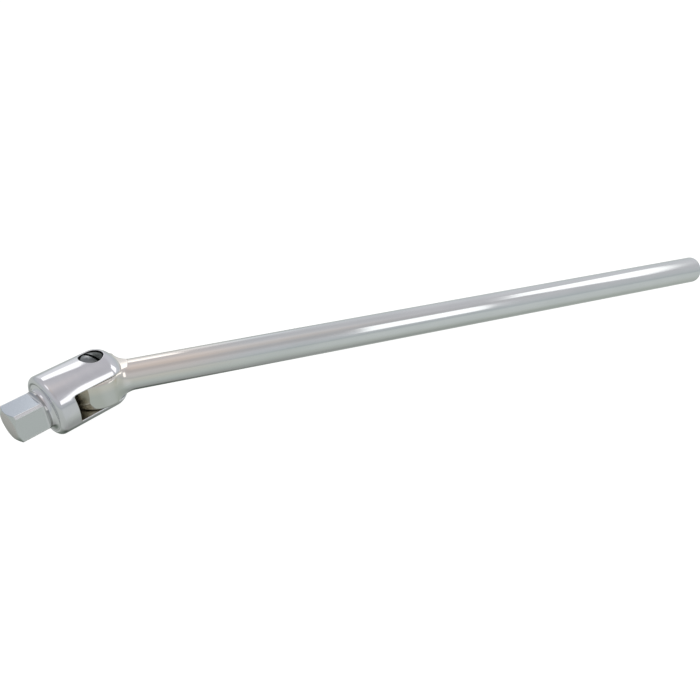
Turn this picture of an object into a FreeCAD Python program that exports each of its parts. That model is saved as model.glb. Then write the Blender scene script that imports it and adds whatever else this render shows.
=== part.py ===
# Hinged-head breaker bar with a 3/4 inch square drive.
#
# The tool is a solid round bar whose end is forged into a flat, round-nosed
# tongue.  The tongue sits in a fork; fork and square drive are one forging,
# the drive head.  A slotted pivot screw goes through the fork and the tongue.
# A ball and spring in the tongue bear on the inner face of the fork's upper
# ear, and a ball and spring in the square drive hold the socket.
#
# Row frame (mm): +X runs along the handle and out of its free end, the origin
# is the centre of the free end's flat face, +Z is parallel to the hinge axis.
# The handle and the drive head are each drawn about the hinge centre, the head
# with its square drive along its own -X, and are then placed.
import FreeCAD, Part
import math
import os
import Sketcher

doc = FreeCAD.newDocument("BreakerBar")
V = FreeCAD.Vector

# ---------------------------------------------------------------- dimensions
sheet = doc.addObject("Spreadsheet::Sheet", "Sizes")
SIZES = [
    # pose
    ("handle_length", 487.0),      # hinge centre to the handle's free end
    ("rest_bend", 31.5),           # head turned out of line with the handle, degrees
    # handle
    ("grip_radius", 10.65),        # parallel shank
    ("neck_radius", 10.45),         # behind the tongue
    ("taper_end", 150.0),          # neck grows to the shank up to here
    ("end_round", 2.4),            # rounding of the free end
    ("tongue_radius", 20.0),       # plan radius of the tongue about the hinge
    ("tongue_half", 9.3),          # half the tongue's thickness
    ("flare_radius", 11.0),        # concave fillet, neck into tongue
    ("flare_x", 21.8),             # its centre, from the hinge
    ("cheek_round", 3.0),          # rounds the corner between disc and fillet
    ("shoulder_radius", 20.6),     # flats end in this curve
    ("tongue_edge", 1.7),          # rounding of the tongue's rims
    ("pivot_bore", 6.05),          # radius, runs on the screw's shank
    # drive head
    ("head_radius", 20.0),
    ("head_rear", 3.1),            # cylinder ends here, behind the hinge
    ("ear_round", 10.8),           # rounding of the ears' rear ends
    ("head_front", 32.7),          # front rounding starts
    ("front_round", 3.3),
    ("root_fillet", 2.8),          # front face into the drive's blank
    ("blank_radius", 12.6),        # turned corners of the square drive
    ("drive_half", 9.525),         # half of 19.05 mm across flats
    ("flat_root", 39.6),           # flats start here
    ("flat_round", 0.8),
    ("nose_corner", 56.2),         # nose chamfer starts at the corners
    ("nose_edge", 57.9),
    ("nose_edge_radius", 9.4),
    ("nose_tip", 58.7),
    ("slot_half", 9.45),           # half the fork's slot
    ("slot_floor", 24.0),
    ("slot_round", 1.4),
    ("screw_recess", 7.5),         # radius of the counterbore in the upper ear
    ("recess_floor", 13.6),        # height of its floor above the handle's axis
    ("recess_lip", 0.45),          # broken edge of the counterbore's mouth
    ("ear_bore", 6.05),
    ("thread_radius", 5.0),
    ("ear_edge", 0.5),             # broken edges of the slot
    # pivot screw
    ("screw_head", 6.95),
    ("screw_edge_z", 17.9),        # rim of the domed head
    ("screw_top_z", 19.5),         # top of the dome
    ("screw_shank", 6.0),
    ("screw_slot_half", 0.95),
    ("screw_slot_floor", 16.6),
    ("screw_slot_turn", 102.0),    # slot's direction in the head, degrees
    ("screw_end", 18.7),
    ("screw_chamfer", 0.8),
    # knuckle detent
    ("detent_x", 12.5),            # distance from the hinge
    ("detent_bore", 2.55),
    ("detent_ball", 2.5),
    ("detent_floor", 3.0),         # bore ends this far below the handle's axis
    ("detent_gap", 0.02),
    ("dimple_depth", 0.6),
    ("detent_coil", 1.75),         # mean radius of the spring
    ("detent_wire", 0.35),
    # socket retainer
    ("ball_x", 48.5),              # distance from the hinge
    ("ball_bore", 3.05),
    ("socket_ball", 3.0),
    ("ball_proud", 1.1),
    ("ball_floor", 3.2),           # bore ends this far above the drive's axis
    ("retainer_coil", 2.1),
    ("retainer_wire", 0.4),
]
D = {}
for row, (name, value) in enumerate(SIZES, start=1):
    sheet.set("A%d" % row, name)
    sheet.set("B%d" % row, repr(value))
    sheet.setAlias("B%d" % row, name)
    D[name] = value
doc.recompute()
S = "Sizes."


# worked out from the sizes above: the corner of the tongue's plan outline, and
# the radii of the screw's and the nose's domes
# where the tongue's plan outline and the neck's fillet cross
fd = math.hypot(D["flare_x"], D["neck_radius"] + D["flare_radius"])
turn = (math.atan2(D["neck_radius"] + D["flare_radius"], D["flare_x"])
        + math.acos((D["tongue_radius"] ** 2 + fd ** 2 - D["flare_radius"] ** 2) / (2 * D["tongue_radius"] * fd)))
EXTRA = []
EXTRA.append(("flare_dist", "sqrt(flare_x^2+(neck_radius+flare_radius)^2)", fd))
EXTRA.append(("outline_turn", "(atan2(neck_radius+flare_radius;flare_x)+acos((tongue_radius^2+flare_dist^2-flare_radius^2)/(2*tongue_radius*flare_dist)))/1deg",
              math.degrees(turn)))
EXTRA.append(("outline_end", "tongue_radius*cos(outline_turn*1deg)+1",
              D["tongue_radius"] * math.cos(turn) + 1.0))
EXTRA.append(("dome_radius", "(screw_head^2+(screw_top_z-screw_edge_z)^2)/(2*(screw_top_z-screw_edge_z))",
              (D["screw_head"] ** 2 + (D["screw_top_z"] - D["screw_edge_z"]) ** 2)
              / (2 * (D["screw_top_z"] - D["screw_edge_z"]))))
EXTRA.append(("nose_dome", "(nose_edge_radius^2+(nose_tip-nose_edge)^2)/(2*(nose_tip-nose_edge))",
              (D["nose_edge_radius"] ** 2 + (D["nose_tip"] - D["nose_edge"]) ** 2)
              / (2 * (D["nose_tip"] - D["nose_edge"]))))
for row, (name, formula, value) in enumerate(EXTRA, start=len(SIZES) + 1):
    sheet.set("A%d" % row, name)
    sheet.set("B%d" % row, "=" + formula)
    sheet.setAlias("B%d" % row, name)
    D[name] = value
doc.recompute()
for name, formula, value in EXTRA:
    if abs(float(sheet.get(name)) - value) > 1e-9:
        raise RuntimeError("sheet value of " + name)


# ------------------------------------------------------------------- helpers
def plane(body, role):
    return [o for o in body.Origin.OriginFeatures if o.Role == role][0]


def new_body(name):
    body = doc.addObject("PartDesign::Body", name + "_body")
    body.Label = name
    return body


def sketch(body, name, role):
    sk = body.newObject("Sketcher::SketchObject", name)
    sk.AttachmentSupport = [(plane(body, role), "")]
    sk.MapMode = "FlatFace"
    return sk


def outline(sk, items):
    """Closed outline.  Each item is (x expression, y expression, arc), where
    arc is None for a straight run to the next point, or (radius expression,
    bulge side, centre hint) for an arc to the next point."""
    pts = [V(ev(a), ev(b), 0) for a, b, c in items]
    n = len(pts)
    geo, back = [], []
    for i, (a, b, arc) in enumerate(items):
        p, q = pts[i], pts[(i + 1) % n]
        back.append(False)
        if arc is None:
            geo.append(sk.addGeometry(Part.LineSegment(p, q), False))
        else:
            radius, side = arc
            r = ev(radius)
            mid = (p + q) * 0.5
            d = q - p
            half = d.Length / 2
            nrm = V(-d.y, d.x, 0)
            nrm.normalize()
            big = side in ("L", "R")
            reach = math.sqrt(max(r * r - half * half, 0))
            if side in ("l", "r"):            # short way round
                c = mid + nrm * (reach if side == "l" else -reach)
                out = mid - c
            else:                             # long way round
                c = mid - nrm * (reach if side == "L" else -reach)
                out = c - mid
            if out.Length < 1e-9:
                out = nrm * (-1 if side in ("l", "L") else 1)
            out.normalize()
            way = c + out * r
            # arcs always run anticlockwise
            back[i] = (way - p).cross(q - way).z < 0
            if back[i]:
                geo.append(sk.addGeometry(Part.Arc(q, way, p), False))
            else:
                geo.append(sk.addGeometry(Part.Arc(p, way, q), False))

    def ends(i):
        return (2, 1) if back[i] else (1, 2)
    for i in range(n):
        j = (i + 1) % n
        sk.addConstraint(Sketcher.Constraint("Coincident", geo[i], ends(i)[1], geo[j], ends(j)[0]))
    for i, (a, b, arc) in enumerate(items):
        for kind, ex in (("DistanceX", a), ("DistanceY", b)):
            if abs(ev(ex)) < 1e-9:
                sk.addConstraint(Sketcher.Constraint("PointOnObject", geo[i], ends(i)[0], -2 if kind == "DistanceX" else -1))
            else:
                c = sk.addConstraint(Sketcher.Constraint(kind, -1, 1, geo[i], ends(i)[0], ev(ex)))
                if not isinstance(ex, (int, float)):
                    sk.setExpression("Constraints[%d]" % c, bound(ex))
        if arc is not None:
            c = sk.addConstraint(Sketcher.Constraint("Radius", geo[i], ev(arc[0])))
            if not isinstance(arc[0], (int, float)):
                sk.setExpression("Constraints[%d]" % c, bound(arc[0]))
    return sk


def circle(sk, cx, cy, radius):
    g = sk.addGeometry(Part.Circle(V(ev(cx), ev(cy), 0), V(0, 0, 1), ev(radius)), False)
    for kind, ex in (("DistanceX", cx), ("DistanceY", cy)):
        if abs(ev(ex)) < 1e-9:
            sk.addConstraint(Sketcher.Constraint("PointOnObject", g, 3, -2 if kind == "DistanceX" else -1))
        else:
            c = sk.addConstraint(Sketcher.Constraint(kind, -1, 1, g, 3, ev(ex)))
            if not isinstance(ex, (int, float)):
                sk.setExpression("Constraints[%d]" % c, bound(ex))
    c = sk.addConstraint(Sketcher.Constraint("Radius", g, ev(radius)))
    if not isinstance(radius, (int, float)):
        sk.setExpression("Constraints[%d]" % c, bound(radius))
    return sk


def value_of(text):
    """Number for a formula in sheet names: sums and differences of names,
    numbers and square roots."""
    out, sign = 0.0, 1.0
    i = 0
    text = text.replace(" ", "")
    while i < len(text):
        ch = text[i]
        if ch in "+-":
            sign = 1.0 if ch == "+" else -1.0
            i += 1
            continue
        if text.startswith("sqrt(", i):
            depth, j = 1, i + 5
            while depth:
                depth += {"(": 1, ")": -1}.get(text[j], 0)
                j += 1
            inside = text[i + 5:j - 1]
            acc, s2 = 0.0, 1.0
            for piece in split_terms(inside):
                acc += piece[0] * number(piece[1]) ** 2
            out += sign * math.sqrt(acc)
            i = j
            sign = 1.0
            continue
        j = i
        while j < len(text) and text[j] not in "+-":
            j += 1
        out += sign * number(text[i:j])
        sign = 1.0
        i = j
    return out


def split_terms(text):
    """Signed squares, such as a^2-b^2."""
    terms, sign, word = [], 1.0, ""
    for ch in text + "+":
        if ch in "+-":
            if word:
                terms.append((sign, word.replace("^2", "")))
                word = ""
            sign = 1.0 if ch == "+" else -1.0
        else:
            word += ch
    return terms


def number(word):
    if word in D:
        return D[word]
    return float(word)


def ev(ex):
    return float(ex) if isinstance(ex, (int, float)) else value_of(ex)


def bound(ex):
    """The same formula for the expression engine, with the sheet's prefix."""
    out, word = "", ""
    for ch in ex + " ":
        if ch.isalnum() or ch == "_" or ch == ".":
            word += ch
        else:
            if word:
                out += (S + word) if word in D else word
                word = ""
            out += ch
    return out.strip()


def pocket(body, name, sk, both=True, length=None, reverse=False):
    before = body.Tip.Shape.Volume
    f = body.newObject("PartDesign::Pocket", name)
    f.Profile = sk
    if length is None:
        f.Type = "ThroughAll"
        if both:
            f.SideType = "Two sides"
            f.Type2 = "ThroughAll"
        else:
            f.Reversed = reverse
    else:
        f.Type = "Length"
        f.Length = ev(length)
        if not isinstance(length, (int, float)):
            f.setExpression("Length", bound(length))
        f.Reversed = reverse
    body.Tip = f
    doc.recompute()
    cut = before - f.Shape.Volume
    print("%-22s cuts %.2f mm3" % (name, cut))
    if cut < 1e-3:
        raise RuntimeError(name + " cuts nothing")
    return f


def revolve(body, name, sk, axis, kind="PartDesign::Revolution"):
    f = body.newObject(kind, name)
    f.Profile = sk
    f.ReferenceAxis = (sk, [axis])
    f.Angle = 360.0
    body.Tip = f
    doc.recompute()
    return f


def edges_where(shape, test):
    return ["Edge%d" % (i + 1) for i, e in enumerate(shape.Edges) if test(e)]


def fillet(body, name, base, names, radius):
    f = body.newObject("PartDesign::Fillet", name)
    f.Base = (base, names)
    f.Radius = ev(radius)
    f.setExpression("Radius", bound(radius))
    body.Tip = f
    doc.recompute()
    if "Invalid" in f.State or "Error" in f.State or f.Shape.isNull() or not f.Shape.isValid():
        raise RuntimeError(name + " failed")
    return f


def place(obj, turned):
    """Hinge-centred piece to the row frame; the head also turns on the hinge."""
    obj.Placement = FreeCAD.Placement(V(-D["handle_length"], 0, 0), FreeCAD.Rotation(V(0, 0, 1), 0))
    obj.setExpression("Placement.Base.x", "-" + S + "handle_length")
    if turned:
        obj.Placement.Rotation = FreeCAD.Rotation(V(0, 0, 1), D["rest_bend"])
        obj.setExpression("Placement.Rotation.Angle", S + "rest_bend")


# ---------------------------------------------------------------- handle_bar
bar = new_body("handle_bar")
sk = sketch(bar, "BarProfile", "XZ_Plane")
outline(sk, [
    ("-tongue_radius-1", 0, None),
    ("-tongue_radius-1", "tongue_radius+4", None),
    ("flare_x-flare_radius", "tongue_radius+4", None),
    ("flare_x-flare_radius", "neck_radius+flare_radius", ("flare_radius", "l")),
    ("flare_x", "neck_radius", None),
    ("taper_end", "grip_radius", None),
    ("handle_length-end_round", "grip_radius", ("end_round", "r")),
    ("handle_length", "grip_radius-end_round", None),
    ("handle_length", 0, None),
])
revolve(bar, "BarRevolution", sk, "H_Axis")

# the tongue's round plan outline: all beyond it is cut away, to just past
# where the neck's fillet takes over
sk = sketch(bar, "TongueOutline", "XY_Plane")
outline(sk, [
    ("outline_end", "sqrt(tongue_radius^2-outline_end^2)", ("tongue_radius", "L")),
    ("outline_end", "-sqrt(tongue_radius^2-outline_end^2)", None),
    ("outline_end", "-tongue_radius-12", None),
    ("-tongue_radius-12", "-tongue_radius-12", None),
    ("-tongue_radius-12", "tongue_radius+12", None),
    ("outline_end", "tongue_radius+12", None),
])
pocket(bar, "TongueOutlineCut", sk)

# milled flats, top and bottom, ending in a curved shoulder
for tag, sign in (("Top", 1), ("Bottom", -1)):
    sk = sketch(bar, "Flat" + tag, "XY_Plane")
    sk.AttachmentOffset = FreeCAD.Placement(V(0, 0, sign * D["tongue_half"]), FreeCAD.Rotation())
    sk.setExpression("AttachmentOffset.Base.z", ("" if sign > 0 else "-") + S + "tongue_half")
    circle(sk, 0, 0, "shoulder_radius")
    pocket(bar, "Flat%sCut" % tag, sk, both=False, reverse=sign > 0)

base = bar.Tip
def cheek(e):
    # upright corners between the disc's wall and the neck's fillet
    b = e.BoundBox
    p = e.valueAt((e.FirstParameter + e.LastParameter) / 2)
    return b.ZMax - b.ZMin > D["tongue_half"] * 0.9 and p.x > 6 and abs(math.hypot(p.x, p.y) - D["tongue_radius"]) < 1e-2
names = edges_where(base.Shape, cheek)
print("cheek edges", names)
fillet(bar, "Cheeks", base, names, "cheek_round")
base = bar.Tip
def rim(e):
    b = e.BoundBox
    if b.ZMax - b.ZMin > 1e-4 or abs(abs(b.ZMax) - D["tongue_half"]) > 1e-4:
        return False
    p = e.valueAt((e.FirstParameter + e.LastParameter) / 2)
    r = math.hypot(p.x, p.y)
    return r < D["tongue_radius"] + 1e-3 and r > D["tongue_radius"] - 4 and (p.x < 8 or b.XMax < 13)
names = edges_where(base.Shape, rim)
print("rim edges", names)
fillet(bar, "TongueRims", base, names, "tongue_edge")

sk = sketch(bar, "PivotBore", "XY_Plane")
circle(sk, 0, 0, "pivot_bore")
pocket(bar, "PivotBoreCut", sk)
sk = sketch(bar, "DetentBore", "XY_Plane")
sk.AttachmentOffset = FreeCAD.Placement(V(0, 0, -D["detent_floor"]), FreeCAD.Rotation())
sk.setExpression("AttachmentOffset.Base.z", "-" + S + "detent_floor")
circle(sk, "-detent_x", 0, "detent_bore")
pocket(bar, "DetentBoreCut", sk, both=False, reverse=True)
place(bar, False)

# ---------------------------------------------------------------- drive_head
head = new_body("drive_head")
sk = sketch(head, "HeadProfile", "XZ_Plane")
outline(sk, [
    ("head_rear+ear_round", 0, None),
    ("head_rear+ear_round", "head_radius-ear_round", ("ear_round", "l")),
    ("head_rear", "head_radius", None),
    ("-head_front", "head_radius", ("front_round", "l")),
    ("-head_front-front_round", "head_radius-front_round", ("root_fillet", "r")),
    ("-head_front-front_round-root_fillet", "blank_radius", None),
    ("-nose_corner", "blank_radius", None),
    ("-nose_edge", "nose_edge_radius", ("nose_dome", "l")),
    ("-nose_tip", 0, None),
])
revolve(head, "HeadRevolution", sk, "H_Axis")

# four flats of the square drive
sk = sketch(head, "DriveFlat", "XY_Plane")
outline(sk, [
    ("-nose_tip-2", "drive_half", None),
    ("-flat_root-flat_round", "drive_half", ("flat_round", "l")),
    ("-flat_root", "drive_half+flat_round", None),
    ("-flat_root", "blank_radius+2", None),
    ("-nose_tip-2", "blank_radius+2", None),
])
flat = pocket(head, "DriveFlatCut", sk)
before = flat.Shape.Volume
pat = head.newObject("PartDesign::PolarPattern", "DriveFlats")
pat.Originals = [flat]
pat.Axis = (plane(head, "X_Axis"), [""])
pat.Angle = 360.0
pat.Occurrences = 4
head.Tip = pat
doc.recompute()
print("DriveFlats cut", before - pat.Shape.Volume)

# slot for the tongue, open to both sides and to the rear
sk = sketch(head, "ForkSlot", "XZ_Plane")
outline(sk, [
    ("head_radius+4", "slot_half", None),
    ("-slot_floor+slot_round", "slot_half", ("slot_round", "l")),
    ("-slot_floor", "slot_half-slot_round", None),
    ("-slot_floor", "-slot_half+slot_round", ("slot_round", "l")),
    ("-slot_floor+slot_round", "-slot_half", None),
    ("head_radius+4", "-slot_half", None),
])
pocket(head, "ForkSlotCut", sk)

# upper ear: counterbore for the screw's head; both ears: bore
sk = sketch(head, "ScrewRecess", "XY_Plane")
sk.AttachmentOffset = FreeCAD.Placement(V(0, 0, D["recess_floor"]), FreeCAD.Rotation())
sk.setExpression("AttachmentOffset.Base.z", S + "recess_floor")
circle(sk, 0, 0, "screw_recess")
pocket(head, "ScrewRecessCut", sk, both=False, reverse=True)
recess = head.Tip
sk = sketch(head, "EarBore", "XY_Plane")
circle(sk, 0, 0, "ear_bore")
pocket(head, "EarBoreCut", sk, both=False, reverse=True)
sk = sketch(head, "ThreadBore", "XY_Plane")
circle(sk, 0, 0, "thread_radius")
pocket(head, "ThreadBoreCut", sk, both=False, reverse=False)

# detent dimples in the upper ear's inner face, at the straight and the two
# square positions
sk = sketch(head, "Dimple", "XZ_Plane")
outline(sk, [
    ("-detent_x", "slot_half-0.5", None),
    ("-detent_x", "slot_half+dimple_depth", None),
    ("-detent_x-0.7", "slot_half+dimple_depth", None),
    ("-detent_x-1.9", "slot_half-0.5", None),
])
before = head.Tip.Shape.Volume
dim = head.newObject("PartDesign::Groove", "DimpleCut")
dim.Profile = sk
g = sk.addGeometry(Part.LineSegment(V(-D["detent_x"], 0, 0), V(-D["detent_x"], 5, 0)), True)
c = sk.addConstraint(Sketcher.Constraint("DistanceX", -1, 1, g, 1, -D["detent_x"]))
sk.setExpression("Constraints[%d]" % c, "-" + S + "detent_x")
sk.addConstraint(Sketcher.Constraint("Vertical", g))
sk.addConstraint(Sketcher.Constraint("PointOnObject", g, 1, -1))
sk.addConstraint(Sketcher.Constraint("DistanceY", g, 1, g, 2, 5.0))
dim.ReferenceAxis = (sk, ["Axis0"])
dim.Angle = 360.0
head.Tip = dim
doc.recompute()
print("DimpleCut cut", before - dim.Shape.Volume)
before = dim.Shape.Volume
for k, back in ((1, False), (2, True)):
    pat = head.newObject("PartDesign::PolarPattern", "Dimples%d" % k)
    pat.Originals = [dim]
    pat.Axis = (plane(head, "Z_Axis"), [""])
    pat.Angle = 90.0
    pat.Occurrences = 2
    pat.Reversed = back
    head.Tip = pat
    doc.recompute()
print("Dimples cut", before - head.Tip.Shape.Volume)

# pocket for the socket-retaining ball, from the drive's lower flat
sk = sketch(head, "BallBore", "XY_Plane")
sk.AttachmentOffset = FreeCAD.Placement(V(0, 0, D["ball_floor"]), FreeCAD.Rotation())
sk.setExpression("AttachmentOffset.Base.z", S + "ball_floor")
circle(sk, "-ball_x", 0, "ball_bore")
pocket(head, "BallBoreCut", sk, both=False, reverse=False)

# broken edges: the counterbore's mouth, and the slot's edges on the outside
base = head.Tip
def mouth(e):
    # the counterbore's mouth lies on the head's outside
    if e.BoundBox.ZMin < 16.0:
        return False
    p = e.valueAt((e.FirstParameter + e.LastParameter) / 2)
    return abs(math.hypot(p.x, p.y) - D["screw_recess"]) < 1e-3
names = edges_where(base.Shape, mouth)
print("mouth edges", names)
fillet(head, "MouthEdge", base, names, "recess_lip")
base = head.Tip
def slot_edge(e):
    p = e.valueAt((e.FirstParameter + e.LastParameter) / 2)
    flatz = abs(abs(p.z) - D["slot_half"]) < 1e-6 and e.BoundBox.ZMax - e.BoundBox.ZMin < 1e-6
    return flatz and math.hypot(p.x, p.y) > 13.6 and -D["slot_floor"] < p.x
names = edges_where(base.Shape, slot_edge)
print("slot edges", names)
try:
    fillet(head, "SlotEdges", base, names, "ear_edge")
except RuntimeError:
    doc.removeObject("SlotEdges")
    head.Tip = base
    doc.recompute()
    print("slot edges left sharp")
place(head, True)

# --------------------------------------------------------------- pivot_screw
screw = new_body("pivot_screw")
sk = sketch(screw, "ScrewProfile", "XZ_Plane")
outline(sk, [
    (0, "screw_top_z", ("dome_radius", "r")),
    ("screw_head", "screw_edge_z", None),
    ("screw_head", "recess_floor", None),
    ("screw_shank", "recess_floor", None),
    ("screw_shank", "-slot_half", None),
    ("thread_radius", "-slot_half", None),
    ("thread_radius", "-screw_end+screw_chamfer", None),
    ("thread_radius-screw_chamfer", "-screw_end", None),
    (0, "-screw_end", None),
])
revolve(screw, "ScrewRevolution", sk, "V_Axis")
sk = sketch(screw, "DriverSlot", "XY_Plane")
sk.AttachmentOffset = FreeCAD.Placement(V(0, 0, D["screw_slot_floor"]), FreeCAD.Rotation(V(0, 0, 1), D["screw_slot_turn"]))
sk.setExpression("AttachmentOffset.Base.z", S + "screw_slot_floor")
sk.setExpression("AttachmentOffset.Rotation.Angle", S + "screw_slot_turn")
outline(sk, [
    ("-screw_head-1", "-screw_slot_half", None),
    ("screw_head+1", "-screw_slot_half", None),
    ("screw_head+1", "screw_slot_half", None),
    ("-screw_head-1", "screw_slot_half", None),
])
pocket(screw, "DriverSlotCut", sk, both=False, reverse=True)
place(screw, True)


# --------------------------------------------------------- balls and springs
def ball(name, radius, x, z, turned):
    b = new_body(name)
    s = sketch(b, name + "_profile", "XZ_Plane")
    # half disc about the vertical line through the ball's centre
    r = ev(radius)
    g1 = s.addGeometry(Part.Arc(V(ev(x), ev(z) - r, 0), V(ev(x) + r, ev(z), 0), V(ev(x), ev(z) + r, 0)), False)
    g2 = s.addGeometry(Part.LineSegment(V(ev(x), ev(z) - r, 0), V(ev(x), ev(z) + r, 0)), False)
    s.addConstraint(Sketcher.Constraint("Coincident", g1, 1, g2, 1))
    s.addConstraint(Sketcher.Constraint("Coincident", g1, 2, g2, 2))
    s.addConstraint(Sketcher.Constraint("PointOnObject", g1, 3, g2))
    s.addConstraint(Sketcher.Constraint("Vertical", g2))
    c = s.addConstraint(Sketcher.Constraint("Radius", g1, r))
    s.setExpression("Constraints[%d]" % c, bound(radius))
    c = s.addConstraint(Sketcher.Constraint("DistanceX", -1, 1, g1, 3, ev(x)))
    s.setExpression("Constraints[%d]" % c, bound(x))
    c = s.addConstraint(Sketcher.Constraint("DistanceY", -1, 1, g1, 3, ev(z)))
    s.setExpression("Constraints[%d]" % c, bound(z))
    rev = b.newObject("PartDesign::Revolution", name + "_ball")
    rev.Profile = s
    k = s.addGeometry(Part.LineSegment(V(ev(x), ev(z) - 2 * r, 0), V(ev(x), ev(z) + 2 * r, 0)), True)
    s.addConstraint(Sketcher.Constraint("Vertical", k))
    s.addConstraint(Sketcher.Constraint("PointOnObject", g1, 3, k))
    rev.ReferenceAxis = (s, ["Axis0"])
    rev.Angle = 360.0
    b.Tip = rev
    doc.recompute()
    place(b, turned)
    return b


D["detent_z"] = D["slot_half"] - D["detent_gap"] - D["detent_ball"]
D["ball_z"] = -D["drive_half"] - D["ball_proud"] + D["socket_ball"]
detent = ball("detent_ball", "detent_ball", "-detent_x", "slot_half-detent_gap-detent_ball", False)
retainer = ball("socket_ball", "socket_ball", "-ball_x", "-drive_half-ball_proud+socket_ball", True)


def spring(name, coil, wire, low, high, x, turned):
    """Compression spring: its wire stays between the two heights."""
    z0, z1 = ev(low), ev(high)
    turns = 5.0
    height = z1 - z0 - 2 * ev(wire)
    helix = doc.addObject("Part::Helix", name + "_helix")
    helix.Radius = ev(coil)
    helix.setExpression("Radius", bound(coil))
    helix.Height = height
    helix.setExpression("Height", "%s-(%s)-2*%s" % (bound(high), bound(low), bound(wire)))
    helix.Pitch = height / turns
    helix.setExpression("Pitch", "(%s-(%s)-2*%s)/5" % (bound(high), bound(low), bound(wire)))
    helix.Placement = FreeCAD.Placement(V(ev(x), 0, z0 + ev(wire)), FreeCAD.Rotation())
    section = doc.addObject("Part::Circle", name + "_section")
    section.Radius = ev(wire)
    section.setExpression("Radius", bound(wire))
    section.Placement = FreeCAD.Placement(V(ev(x) + ev(coil), 0, z0 + ev(wire)), FreeCAD.Rotation(V(1, 0, 0), 90))
    doc.recompute()
    sweep = doc.addObject("Part::Sweep", name)
    sweep.Sections = [section]
    sweep.Spine = (helix, ["Edge1"])
    sweep.Solid = True
    sweep.Frenet = True
    sweep.Label = name
    doc.recompute()
    length = math.hypot(2 * math.pi * ev(coil) * turns, height)
    print("%s volume %.3f, wire section times length %.3f" % (name, sweep.Shape.Volume, math.pi * ev(wire) ** 2 * length))
    place(sweep, turned)
    return sweep


detent_spring = spring("detent_spring", "detent_coil", "detent_wire", "-detent_floor",
                       "slot_half-detent_gap-detent_ball-detent_ball", "-detent_x", False)
socket_spring = spring("socket_spring", "retainer_coil", "retainer_wire",
                       "-drive_half-ball_proud+socket_ball+socket_ball", "ball_floor", "-ball_x", True)

# -------------------------------------------------------------- check, write
doc.recompute()
PARTS = {"handle_bar": bar, "drive_head": head, "pivot_screw": screw,
         "detent_ball": detent, "detent_spring": detent_spring,
         "socket_ball": retainer, "socket_spring": socket_spring}
bad = [o.Name for o in doc.Objects if "Invalid" in o.State or "Error" in o.State]
if bad:
    raise RuntimeError("failed objects: %s" % bad)
for name, obj in PARTS.items():
    if obj.Shape.isNull() or not obj.Shape.isValid() or len(obj.Shape.Solids) != 1:
        raise RuntimeError(name + " has no single valid solid")
    if obj.Label != name:
        raise RuntimeError("label of " + name)
os.makedirs("parts", exist_ok=True)
for name, obj in PARTS.items():
    obj.Shape.exportStep("parts/%s.step" % name)
    b = obj.Shape.BoundBox
    print("%-14s %10.1f mm3  x %.2f..%.2f  y %.2f..%.2f  z %.2f..%.2f" % (
        name, obj.Shape.Volume, b.XMin, b.XMax, b.YMin, b.YMax, b.ZMin, b.ZMax))
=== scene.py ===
import math

import bpy
import numpy as np
from mathutils import Matrix, Vector


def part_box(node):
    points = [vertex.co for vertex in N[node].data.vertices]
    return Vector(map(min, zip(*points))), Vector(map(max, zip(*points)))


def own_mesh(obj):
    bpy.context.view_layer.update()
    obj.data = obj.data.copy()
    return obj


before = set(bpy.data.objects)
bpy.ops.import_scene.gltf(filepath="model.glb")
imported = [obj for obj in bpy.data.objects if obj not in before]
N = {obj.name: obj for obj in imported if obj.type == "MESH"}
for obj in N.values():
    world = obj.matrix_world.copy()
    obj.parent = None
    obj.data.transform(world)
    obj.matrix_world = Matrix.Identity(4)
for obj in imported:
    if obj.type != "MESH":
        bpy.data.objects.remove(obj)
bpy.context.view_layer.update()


# the hinge and the head's own frame: square drive along -X
HINGE = Vector((-0.487, 0.0, 0.0))
BEND = math.radians(31.5)
MM = 0.001


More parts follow.
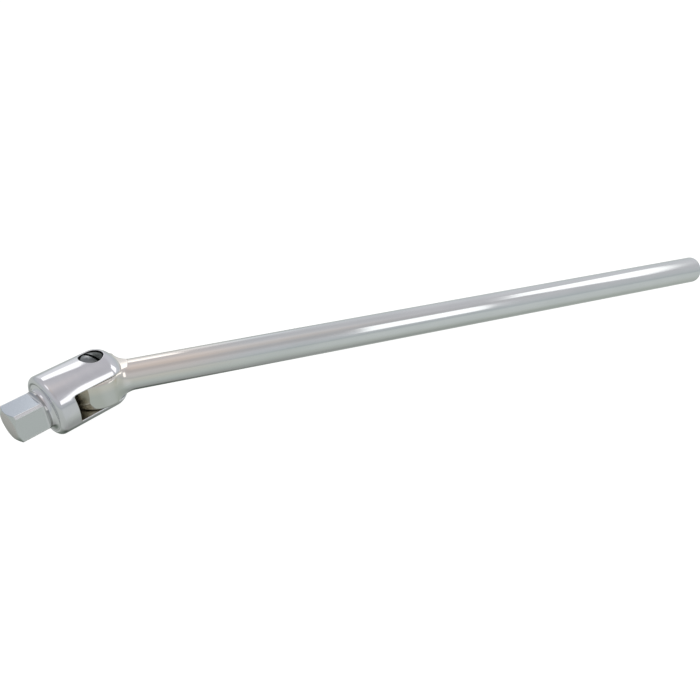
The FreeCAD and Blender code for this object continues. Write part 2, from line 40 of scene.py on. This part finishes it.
# --------------------------------------------------------------- smooth shading
def smooth_normals(obj, limit_deg=30.0):
    """Corner normals averaged over the neighbouring facets of a curved face,
    by corner angle, across the seams between CAD faces; real edges stay sharp."""
    me = obj.data
    nv, nf = len(me.vertices), len(me.polygons)
    co = np.zeros(nv * 3)
    me.vertices.foreach_get("co", co)
    co = co.reshape(-1, 3)
    key = np.round(co / 2e-7).astype(np.int64)
    _, ids = np.unique(key, axis=0, return_inverse=True)
    ids = ids.reshape(-1)
    nl = len(me.loops)
    lv = np.zeros(nl, np.int64)
    me.loops.foreach_get("vertex_index", lv)
    start = np.zeros(nf, np.int64)
    me.polygons.foreach_get("loop_start", start)
    count = np.zeros(nf, np.int64)
    me.polygons.foreach_get("loop_total", count)
    if not (count == 3).all():
        return
    tri = lv[start[:, None] + np.arange(3)]
    p = co[tri]
    fn = np.cross(p[:, 1] - p[:, 0], p[:, 2] - p[:, 0])
    area = np.linalg.norm(fn, axis=1)
    fn = fn / np.maximum(area, 1e-30)[:, None]
    ang = np.zeros((nf, 3))
    for k in range(3):
        a = p[:, (k + 1) % 3] - p[:, k]
        b = p[:, (k + 2) % 3] - p[:, k]
        c = (a * b).sum(1) / np.maximum(np.linalg.norm(a, axis=1) * np.linalg.norm(b, axis=1), 1e-30)
        ang[:, k] = np.arccos(np.clip(c, -1, 1))
    ang[area < 1e-16] = 0
    corner_id = ids[tri].reshape(-1)
    corner_f = np.repeat(np.arange(nf), 3)
    corner_a = ang.reshape(-1)
    order = np.argsort(corner_id, kind="stable")
    sid = corner_id[order]
    cut = np.flatnonzero(np.diff(sid)) + 1
    groups = np.split(order, cut)
    out = np.zeros((nf * 3, 3))
    lim = math.cos(math.radians(limit_deg))
    for g in groups:
        n = fn[corner_f[g]]
        w = corner_a[g]
        near = (n @ n.T) > lim
        s = (near * w[None, :]) @ n
        ln = np.linalg.norm(s, axis=1)
        bad = ln < 1e-12
        s[bad] = n[bad]
        ln[bad] = 1
        out[g] = s / ln[:, None]
    normals = np.zeros((nl, 3))
    normals[(start[:, None] + np.arange(3)).reshape(-1)] = out
    me.polygons.foreach_set("use_smooth", np.ones(nf, bool))
    me.normals_split_custom_set([tuple(v) for v in normals])


for name in N:
    smooth_normals(N[name])


# -------------------------------------------------------------------- materials
class Nodes:
    """Small helper for building a node material."""

    def __init__(self, name):
        self.mat = bpy.data.materials.new(name)
        self.mat.use_nodes = True
        self.t = self.mat.node_tree
        self.t.nodes.clear()
        self.out = self.t.nodes.new("ShaderNodeOutputMaterial")
        self.x = 0

    def new(self, kind, **kw):
        n = self.t.nodes.new(kind)
        self.x += 1
        n.location = (self.x * 40 - 2000, 0)
        for k, v in kw.items():
            setattr(n, k, v)
        return n

    def put(self, socket, v):
        if isinstance(v, (int, float)):
            socket.default_value = v
        elif isinstance(v, (tuple, list)):
            if socket.type == "RGBA" and len(v) == 3:
                v = tuple(v) + (1.0,)
            socket.default_value = v
        else:
            self.t.links.new(v, socket)

    def math(self, op, a, b=None, c=None, clamp=False):
        n = self.new("ShaderNodeMath", operation=op, use_clamp=clamp)
        self.put(n.inputs[0], a)
        if b is not None:
            self.put(n.inputs[1], b)
        if c is not None:
            self.put(n.inputs[2], c)
        return n.outputs[0]

    def step(self, v, lo, hi):
        """0 below lo, 1 above hi, smooth in between (or reversed if lo > hi)."""
        n = self.new("ShaderNodeMapRange", interpolation_type="SMOOTHSTEP")
        self.put(n.inputs["Value"], v)
        if lo <= hi:
            vals = (lo, hi, 0.0, 1.0)
        else:
            vals = (hi, lo, 1.0, 0.0)
        for k, q in zip(("From Min", "From Max", "To Min", "To Max"), vals):
            n.inputs[k].default_value = q
        return n.outputs["Result"]

    def ramp(self, v, lo, hi, a, b):
        n = self.new("ShaderNodeMapRange")
        self.put(n.inputs["Value"], v)
        for k, q in zip(("From Min", "From Max", "To Min", "To Max"), (lo, hi, a, b)):
            n.inputs[k].default_value = q
        return n.outputs["Result"]

    def mix(self, f, a, b):
        n = self.new("ShaderNodeMix", data_type="RGBA")
        self.put(n.inputs["Factor"], f)
        self.put(n.inputs[6], a)
        self.put(n.inputs[7], b)
        return n.outputs[2]

    def mixf(self, f, a, b):
        n = self.new("ShaderNodeMix", data_type="FLOAT")
        self.put(n.inputs["Factor"], f)
        self.put(n.inputs[2], a)
        self.put(n.inputs[3], b)
        return n.outputs[0]

    def coords(self, turned=False):
        """Coordinates about the hinge, in millimetres; turned: the head's own."""
        tc = self.new("ShaderNodeTexCoord")
        mp = self.new("ShaderNodeMapping", vector_type="POINT")
        s = 1000.0
        mp.inputs["Scale"].default_value = (s, s, s)
        rot = -BEND if turned else 0.0
        mp.inputs["Rotation"].default_value = (0, 0, rot)
        off = Matrix.Rotation(rot, 3, "Z") @ (HINGE * s)
        mp.inputs["Location"].default_value = tuple(-off)
        self.t.links.new(tc.outputs["Object"], mp.inputs["Vector"])
        self.v = mp.outputs[0]
        sp = self.new("ShaderNodeSeparateXYZ")
        self.t.links.new(self.v, sp.inputs[0])
        return sp.outputs[0], sp.outputs[1], sp.outputs[2]

    def scaled(self, sx, sy, sz):
        mp = self.new("ShaderNodeMapping")
        mp.inputs["Scale"].default_value = (sx, sy, sz)
        self.t.links.new(self.v, mp.inputs["Vector"])
        return mp.outputs[0]

    def noise(self, vec, scale, detail=3.0, rough=0.5, dist=0.0):
        n = self.new("ShaderNodeTexNoise")
        self.t.links.new(vec, n.inputs["Vector"])
        n.inputs["Scale"].default_value = scale
        n.inputs["Detail"].default_value = detail
        n.inputs["Roughness"].default_value = rough
        n.inputs["Distortion"].default_value = dist
        return n.outputs["Fac"]

    def bump(self, height, strength, distance, normal=None):
        n = self.new("ShaderNodeBump")
        n.inputs["Strength"].default_value = strength
        n.inputs["Distance"].default_value = distance
        self.t.links.new(height, n.inputs["Height"])
        if normal is not None:
            self.t.links.new(normal, n.inputs["Normal"])
        return n.outputs[0]

    def bevel(self, radius, samples=6):
        n = self.new("ShaderNodeBevel", samples=samples)
        n.inputs["Radius"].default_value = radius
        return n.outputs[0]

    def metal(self, color, rough, normal=None, aniso=0.0, tangent=None):
        b = self.new("ShaderNodeBsdfPrincipled")
        self.put(b.inputs["Base Color"], color)
        self.put(b.inputs["Metallic"], 1.0)
        self.put(b.inputs["Roughness"], rough)
        if aniso:
            self.put(b.inputs["Anisotropic"], aniso)
        if tangent is not None:
            self.put(b.inputs["Tangent"], tangent)
        if normal is not None:
            self.t.links.new(normal, b.inputs["Normal"])
        return b.outputs[0]

    def done(self, shader):
        self.t.links.new(shader, self.out.inputs["Surface"])
        return self.mat


def chrome_head():
    m = Nodes("chrome_head")
    x, y, z = m.coords(turned=True)
    # cloudy differences in polish, a few millimetres across
    cloud = m.noise(m.v, 0.09, 4.0, 0.55)
    fine = m.noise(m.scaled(1.0, 1.0, 1.0), 2.2, 2.0, 0.6)
    # hairlines left by handling, mostly round the body
    hair = m.noise(m.scaled(9.0, 0.5, 0.5), 1.0, 3.0, 0.7)
    rough = m.math("ADD", m.ramp(cloud, 0.3, 0.7, 0.055, 0.10), m.math("MULTIPLY", hair, 0.035))
    base = m.mix(m.step(cloud, 0.35, 0.65), (0.87, 0.87, 0.905), (0.91, 0.912, 0.94))
    # square drive: satin, greyer
    drive = m.step(x, -39.8, -41.0)
    base = m.mix(drive, base, m.mix(m.step(fine, 0.3, 0.7), (0.74, 0.77, 0.775), (0.80, 0.825, 0.83)))
    rough = m.mixf(drive, rough, m.ramp(m.noise(m.scaled(0.6, 3.0, 3.0), 1.0, 3.0, 0.6), 0.3, 0.7, 0.14, 0.21))
    # painted reflection: the top face of the square drive coloured darker and bluer than its sides
    drive_top_tint = m.math("MULTIPLY", drive, m.step(z, 9.1, 9.45))
    base = m.mix(drive_top_tint, base, m.mix(m.step(fine, 0.3, 0.7), (0.585, 0.635, 0.70), (0.625, 0.675, 0.735)))
    # turned corners of the drive: rougher finish, and a painted highlight as near-white colour along them
    corner_highlight = m.math("MULTIPLY", drive, m.step(m.math("SQRT", m.math("ADD", m.math("MULTIPLY", y, y), m.math("MULTIPLY", z, z))), 12.2, 12.45))
    base = m.mix(corner_highlight, base, (0.98, 0.985, 1.0))
    rough = m.mixf(corner_highlight, rough, 0.42)
    # the turned nose is browner and duller
    nose = m.step(x, -57.7, -58.15)
    base = m.mix(nose, base, (0.76, 0.72, 0.715))
    rough = m.mixf(nose, rough, 0.32)
    # painted shade: a dark line round the front face where the rounding meets it, and a dark ring at the
    # drive's root
    rad = m.math("SQRT", m.math("ADD", m.math("MULTIPLY", y, y), m.math("MULTIPLY", z, z)))
    groove_shade = m.math("MULTIPLY", m.step(m.math("ABSOLUTE", m.math("SUBTRACT", rad, 15.9)), 0.65, 0.25), m.step(x, -35.2, -35.6))
    base = m.mix(m.math("MULTIPLY", groove_shade, 0.45), base, (0.10, 0.10, 0.10))
    # painted shade: darkened ring in the crevice at the root of the square drive
    root_shade = m.math("MULTIPLY", m.step(m.math("ABSOLUTE", m.math("SUBTRACT", x, -38.9)), 0.85, 0.55), m.step(rad, 13.4, 12.9))
    base = m.mix(m.math("MULTIPLY", root_shade, 0.6), base, (0.16, 0.16, 0.15))
    # inside the fork: a browner, duller milled surface, also darkened as painted shade inside the slot
    az = m.math("ABSOLUTE", z)
    fork_inside_shade = m.math("MULTIPLY", m.step(az, 9.50, 9.46), m.step(x, -24.35, -24.15))
    fork_inside_shade = m.math("MULTIPLY", fork_inside_shade, m.step(x, 7.0, 1.0))
    base = m.mix(fork_inside_shade, base, m.mix(m.step(cloud, 0.35, 0.65), (0.52, 0.49, 0.42), (0.62, 0.58, 0.50)))
    rough = m.mixf(fork_inside_shade, rough, 0.28)
    # counterbore: darker, duller wall below the lip
    rad = m.math("SQRT", m.math("ADD", m.math("MULTIPLY", x, x), m.math("MULTIPLY", y, y)))
    well = m.math("MULTIPLY", m.step(rad, 7.62, 7.5), m.step(z, 9.9, 10.0))
    base = m.mix(well, base, (0.16, 0.155, 0.15))
    rough = m.mixf(well, rough, 0.35)
    h = m.math("ADD", m.math("MULTIPLY", fine, 0.6), m.math("MULTIPLY", hair, 0.4))
    nrm = m.bump(h, 0.05, 0.00003, m.bevel(0.00035))
    return m.done(m.metal(base, rough, nrm))


def chrome_handle():
    m = Nodes("chrome_handle")
    x, y, z = m.coords()
    cloud = m.noise(m.scaled(0.25, 1.0, 1.0), 0.11, 4.0, 0.55)
    # drawn lines along the bar
    grain = m.noise(m.scaled(0.02, 3.2, 3.2), 1.0, 4.0, 0.65)
    hair = m.noise(m.scaled(0.15, 9.0, 9.0), 1.0, 2.0, 0.6)
    rough = m.math("ADD", m.ramp(cloud, 0.3, 0.7, 0.075, 0.12), m.math("MULTIPLY", grain, 0.05))
    # painted reflection: the upper side of the neck tinted warm
    warm_top_sheen = m.math("MULTIPLY", m.step(x, 110.0, 45.0), m.step(z, -2.0, 4.0))
    base = m.mix(m.step(cloud, 0.35, 0.65), (0.865, 0.89, 0.895), (0.90, 0.92, 0.925))
    base = m.mix(warm_top_sheen, base, (0.985, 0.925, 0.87))
    # tongue: painted reflection, greener and darker below, beige at the top
    tongue_tint = m.step(x, 20.0, 12.0)
    base = m.mix(tongue_tint, base, m.mix(m.step(z, 0.5, 6.5), (0.775, 0.79, 0.765), (0.90, 0.865, 0.80)))
    # the end face is turned and duller
    end = m.step(x, 486.6, 486.9)
    base = m.mix(end, base, (0.70, 0.71, 0.72))
    rough = m.mixf(end, rough, 0.25)
    h = m.math("ADD", m.math("MULTIPLY", grain, 0.5), m.math("MULTIPLY", hair, 0.5))
    nrm = m.bump(h, 0.04, 0.00003, m.bevel(0.0003))
    return m.done(m.metal(base, rough, nrm))


def black_oxide():
    m = Nodes("black_oxide")
    x, y, z = m.coords(turned=True)
    spot = m.noise(m.v, 0.9, 4.0, 0.6)
    rings = m.new("ShaderNodeTexWave", wave_type="RINGS", rings_direction="Z")
    m.t.links.new(m.v, rings.inputs["Vector"])
    rings.inputs["Scale"].default_value = 1.6
    rings.inputs["Distortion"].default_value = 0.6
    base = m.mix(m.step(spot, 0.35, 0.7), (0.060, 0.066, 0.064), (0.13, 0.14, 0.135))
    # painted highlight: the screw head lighter on its -x side
    base = m.mix(m.step(x, 2.5, -4.5), base, (0.27, 0.285, 0.295))
    # painted highlight: a bright spot on the dome beside the slot
    dx = m.math("MULTIPLY", m.math("ADD", x, 0.9), 0.75)
    dy = m.math("SUBTRACT", y, 1.5)
    dome_highlight = m.math("SQRT", m.math("ADD", m.math("MULTIPLY", dx, dx), m.math("MULTIPLY", dy, dy)))
    base = m.mix(m.math("MULTIPLY", m.step(dome_highlight, 2.9, 0.3), m.step(z, 18.2, 18.7)), base, (0.60, 0.61, 0.62))
    rough = m.ramp(spot, 0.3, 0.7, 0.12, 0.22)
    nrm = m.bump(rings.outputs["Fac"], 0.06, 0.00003, m.bevel(0.0003))
    return m.done(m.metal(base, rough, nrm))


def ball_steel():
    m = Nodes("ball_steel")
    m.coords()
    spot = m.noise(m.v, 1.4, 3.0, 0.5)
    base = m.mix(spot, (0.60, 0.60, 0.61), (0.70, 0.70, 0.71))
    return m.done(m.metal(base, m.ramp(spot, 0.3, 0.7, 0.08, 0.16), m.bump(spot, 0.03, 0.00002)))


def spring_wire():
    m = Nodes("spring_wire")
    m.coords()
    line = m.noise(m.scaled(1.0, 1.0, 6.0), 2.0, 3.0, 0.6)
    base = m.mix(line, (0.22, 0.22, 0.225), (0.34, 0.34, 0.35))
    return m.done(m.metal(base, m.ramp(line, 0.3, 0.7, 0.25, 0.4), m.bump(line, 0.05, 0.00002)))


MATS = {
    "handle_bar": (chrome_handle(), "handle"),
    "drive_head": (chrome_head(), "head"),
    "pivot_screw": (black_oxide(), "screw"),
    "detent_ball": (ball_steel(), "ball"),
    "detent_spring": (spring_wire(), "spring"),
}
MATS["socket_ball"] = MATS["detent_ball"]
MATS["socket_spring"] = MATS["detent_spring"]
for name, (mat, slot) in MATS.items():
    o = N[name]
    o.data.materials.clear()
    o.data.materials.append(mat)


# each spring gets its own copy of its mesh
for name, joint, travel, seat in (
    ("detent_spring", "detent_slide", 0.0008, -0.0030),
    ("socket_spring", "retainer_slide", 0.0011, 0.0032),
):
    lo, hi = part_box(name)
    c = [(a + b) / 2 for a, b in zip(lo, hi)]
    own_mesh(N[name])

# ------------------------------------------------------------------------ stage
def plain(name, color, emit, diffuse):
    m = Nodes(name)
    d = m.new("ShaderNodeBsdfDiffuse")
    m.put(d.inputs["Color"], (diffuse,) * 3)
    e = m.new("ShaderNodeEmission")
    m.put(e.inputs["Color"], color)
    e.inputs["Strength"].default_value = emit
    a = m.new("ShaderNodeAddShader")
    m.t.links.new(d.outputs[0], a.inputs[0])
    m.t.links.new(e.outputs[0], a.inputs[1])
    return m.done(a.outputs[0])


def quad(name, centre, u, v, mat):
    """Rectangle with half sides u and v."""
    c, u, v = Vector(centre), Vector(u), Vector(v)
    me = bpy.data.meshes.new(name)
    me.from_pydata([c - u - v, c + u - v, c + u + v, c - u + v], [], [(0, 1, 2, 3)])
    o = bpy.data.objects.new(name, me)
    bpy.context.scene.collection.objects.link(o)
    me.materials.append(mat)
    return o


FLOOR_Z = -0.0200
floor = quad("floor", (-0.25, 0, FLOOR_Z), (12, 0, 0), (0, 12, 0), plain("floor_paint", (1, 1, 1), 0.90, 0.35))
floor.visible_glossy = False
floor.visible_diffuse = False
sky = bpy.data.meshes.new("backdrop")
import bmesh
bm = bmesh.new()
bmesh.ops.create_uvsphere(bm, u_segments=48, v_segments=24, radius=14.0)
bm.to_mesh(sky)
bm.free()
backdrop = bpy.data.objects.new("backdrop", sky)
bpy.context.scene.collection.objects.link(backdrop)
sky.materials.append(plain("backdrop_paint", (1, 1, 1), 1.0, 0.0))
backdrop.visible_glossy = False
backdrop.visible_diffuse = False
backdrop.visible_shadow = False

# soft even surroundings: brightness by height, with a few broad lighter and
# darker parts of the room
world = bpy.data.worlds.new("studio")
bpy.context.scene.world = world
world.use_nodes = True
wt = world.node_tree
wt.nodes.clear()
wo = wt.nodes.new("ShaderNodeOutputWorld")
bg = wt.nodes.new("ShaderNodeBackground")
tc = wt.nodes.new("ShaderNodeTexCoord")
sep = wt.nodes.new("ShaderNodeSeparateXYZ")
mr = wt.nodes.new("ShaderNodeMapRange")
mr.inputs["From Min"].default_value = -1
mr.inputs["From Max"].default_value = 1
cr = wt.nodes.new("ShaderNodeValToRGB")
wt.links.new(tc.outputs["Generated"], sep.inputs[0])
wt.links.new(sep.outputs[2], mr.inputs["Value"])
wt.links.new(mr.outputs["Result"], cr.inputs[0])
stops = [
    (-1.00, (0.305, 0.31, 0.30)),
    (-0.94, (0.345, 0.36, 0.345)),
    (-0.87, (0.385, 0.405, 0.385)),
    (-0.77, (0.42, 0.445, 0.42)),
    (-0.60, (0.45, 0.475, 0.45)),
    (-0.12, (0.475, 0.50, 0.48)),
    (0.03, (0.455, 0.485, 0.48)),
    (0.075, (0.365, 0.39, 0.40)),
    (0.13, (0.44, 0.465, 0.475)),
    (0.30, (0.475, 0.49, 0.505)),
    (0.60, (0.50, 0.50, 0.52)),
    (0.82, (0.485, 0.48, 0.50)),
    (1.00, (0.55, 0.54, 0.56)),
]
while len(cr.color_ramp.elements) > 1:
    cr.color_ramp.elements.remove(cr.color_ramp.elements[0])
cr.color_ramp.elements[0].position = 0.0
for k, (q, c) in enumerate(stops):
    e = cr.color_ramp.elements[0] if k == 0 else cr.color_ramp.elements.new((q + 1) / 2)
    e.color = (*c, 1)


def heading(az, el):
    """Direction: az from -Y towards +X, el upwards, in degrees."""
    a, e = math.radians(az), math.radians(el)
    return (math.cos(e) * math.sin(a), -math.cos(e) * math.cos(a), math.sin(e))


def patch(color, az, el, inner, outer, amount):
    """Adds amount to the sky within outer degrees of a direction, in full within
    inner; a negative amount darkens."""
    dot = wt.nodes.new("ShaderNodeVectorMath")
    dot.operation = "DOT_PRODUCT"
    dot.inputs[1].default_value = heading(az, el)
    wt.links.new(tc.outputs["Generated"], dot.inputs[0])
    m = wt.nodes.new("ShaderNodeMapRange")
    m.interpolation_type = "SMOOTHSTEP"
    m.inputs["From Min"].default_value = math.cos(math.radians(outer))
    m.inputs["From Max"].default_value = math.cos(math.radians(inner))
    wt.links.new(dot.outputs["Value"], m.inputs["Value"])
    x = wt.nodes.new("ShaderNodeMix")
    x.data_type = "RGBA"
    x.blend_type = "ADD" if amount[0] > 0 else "SUBTRACT"
    wt.links.new(m.outputs["Result"], x.inputs["Factor"])
    wt.links.new(color, x.inputs[6])
    x.inputs[7].default_value = (*[abs(v) for v in amount], 1)
    return x.outputs[2]


sky_color = cr.outputs[0]
sky_color = patch(sky_color, -172, 22, 6, 24, (0.25, 0.25, 0.25))
sky_color = patch(sky_color, 128, 12, 20, 55, (0.085, 0.085, 0.09))
sky_color = patch(sky_color, -80, 66, 5, 16, (0.45, 0.45, 0.45))
sky_color = patch(sky_color, 16, 62, 8, 30, (-0.06, -0.065, -0.075))
sky_color = patch(sky_color, -8, 84, 8, 26, (0.06, 0.035, 0.01))
sky_color = patch(sky_color, 35, -20, 8, 32, (0.05, 0.05, 0.065))
sky_color = patch(sky_color, -146, -60, 12, 33, (-0.26, -0.26, -0.26))
sky_color = patch(sky_color, 98, -58, 10, 28, (-0.05, -0.05, -0.05))
wt.links.new(sky_color, bg.inputs["Color"])
wt.links.new(bg.outputs[0], wo.inputs["Surface"])
bg.inputs["Strength"].default_value = 1.0


def card(name, at, aim, w, h, radiance, soft=(0.25, 0.25), tint=(1, 1, 1), fade=(0.0, 0.0)):
    """Glowing rectangle facing a point: w by h metres, edges softened over the
    given parts of its half sides; fade dims it towards -x and -y."""
    m = Nodes(name + "_glow")
    tcn = m.new("ShaderNodeTexCoord")
    sp = m.new("ShaderNodeSeparateXYZ")
    m.t.links.new(tcn.outputs["Object"], sp.inputs[0])
    ex = m.step(m.math("ABSOLUTE", sp.outputs[0]), 1.0, 1.0 - soft[0])
    ey = m.step(m.math("ABSOLUTE", sp.outputs[1]), 1.0, 1.0 - soft[1])
    k = m.math("MULTIPLY", ex, ey)
    k = m.math("MULTIPLY", k, m.ramp(sp.outputs[0], -1, 1, 1 - fade[0], 1))
    k = m.math("MULTIPLY", k, m.ramp(sp.outputs[1], -1, 1, 1 - fade[1], 1))
    e = m.new("ShaderNodeEmission")
    m.put(e.inputs["Color"], tint)
    e.inputs["Strength"].default_value = radiance
    clear = m.new("ShaderNodeBsdfTransparent")
    geo = m.new("ShaderNodeMixShader")
    m.t.links.new(k, geo.inputs[0])
    m.t.links.new(clear.outputs[0], geo.inputs[1])
    m.t.links.new(e.outputs[0], geo.inputs[2])
    mat = m.done(geo.outputs[0])
    me = bpy.data.meshes.new(name)
    me.from_pydata([(-1, -1, 0), (1, -1, 0), (1, 1, 0), (-1, 1, 0)], [], [(0, 1, 2, 3)])
    o = bpy.data.objects.new(name, me)
    bpy.context.scene.collection.objects.link(o)
    me.materials.append(mat)
    z = (Vector(aim) - Vector(at)).normalized()
    x = Vector((0, 0, 1)).cross(z).normalized()
    y = z.cross(x)
    mw = Matrix((x, y, z)).transposed().to_4x4() @ Matrix.Diagonal((w / 2, h / 2, 1, 1))
    mw.translation = Vector(at)
    o.matrix_world = mw
    o.visible_camera = False
    o.visible_shadow = False
    return o


def towards(p, az, el, d):
    return tuple(a + b * d for a, b in zip(p, heading(az, el)))


HEAD = (-0.50, -0.01, 0.0)
card("card_back", towards(HEAD, -174.5, 41, 1.0), HEAD, 0.32, 0.46, 1.2, soft=(0.12, 0.40))
card("card_front", (-0.056, -0.34, 0.280), (-0.056, 0, 0), 0.24, 0.33, 1.2, soft=(0.15, 0.30))
card("card_right", (0.30, -0.01, 0.53), (-0.5, -0.01, 0.53), 0.42, 0.52, 1.2, soft=(0.2, 0.25))

# ----------------------------------------------------------------------- camera
R = np.array([
    [0.9425782512844724, -0.3339758354921933, -0.0025261656314138348],
    [-0.1840248537646461, -0.513030703318056, -0.8384118025468638],
    [0.2787132817115225, 0.7907336079617914, -0.5450314374761526],
])
cam_data = bpy.data.cameras.new("camera")
cam = bpy.data.objects.new("camera", cam_data)
bpy.context.scene.collection.objects.link(cam)
cam_data.sensor_width = 36.0
cam_data.lens = 620.0 / 700.0 * 36.0
cam_data.shift_x = -0.549 / 700.0
cam_data.shift_y = 0.073 / 700.0
cam_data.clip_start = 0.01
cam_data.clip_end = 100.0
m = Matrix((R.T @ np.diag([1.0, -1.0, -1.0])).tolist()).to_4x4()
m.translation = Vector((0.0462070066 - 0.487, -0.3616103065, 0.2346870869))
cam.matrix_world = m
bpy.context.scene.camera = cam
bpy.context.scene.view_settings.view_transform = "Standard"
bpy.context.scene.view_settings.look = "None"
bpy.context.scene.view_settings.exposure = 0.0
bpy.context.scene.view_settings.gamma = 1.0
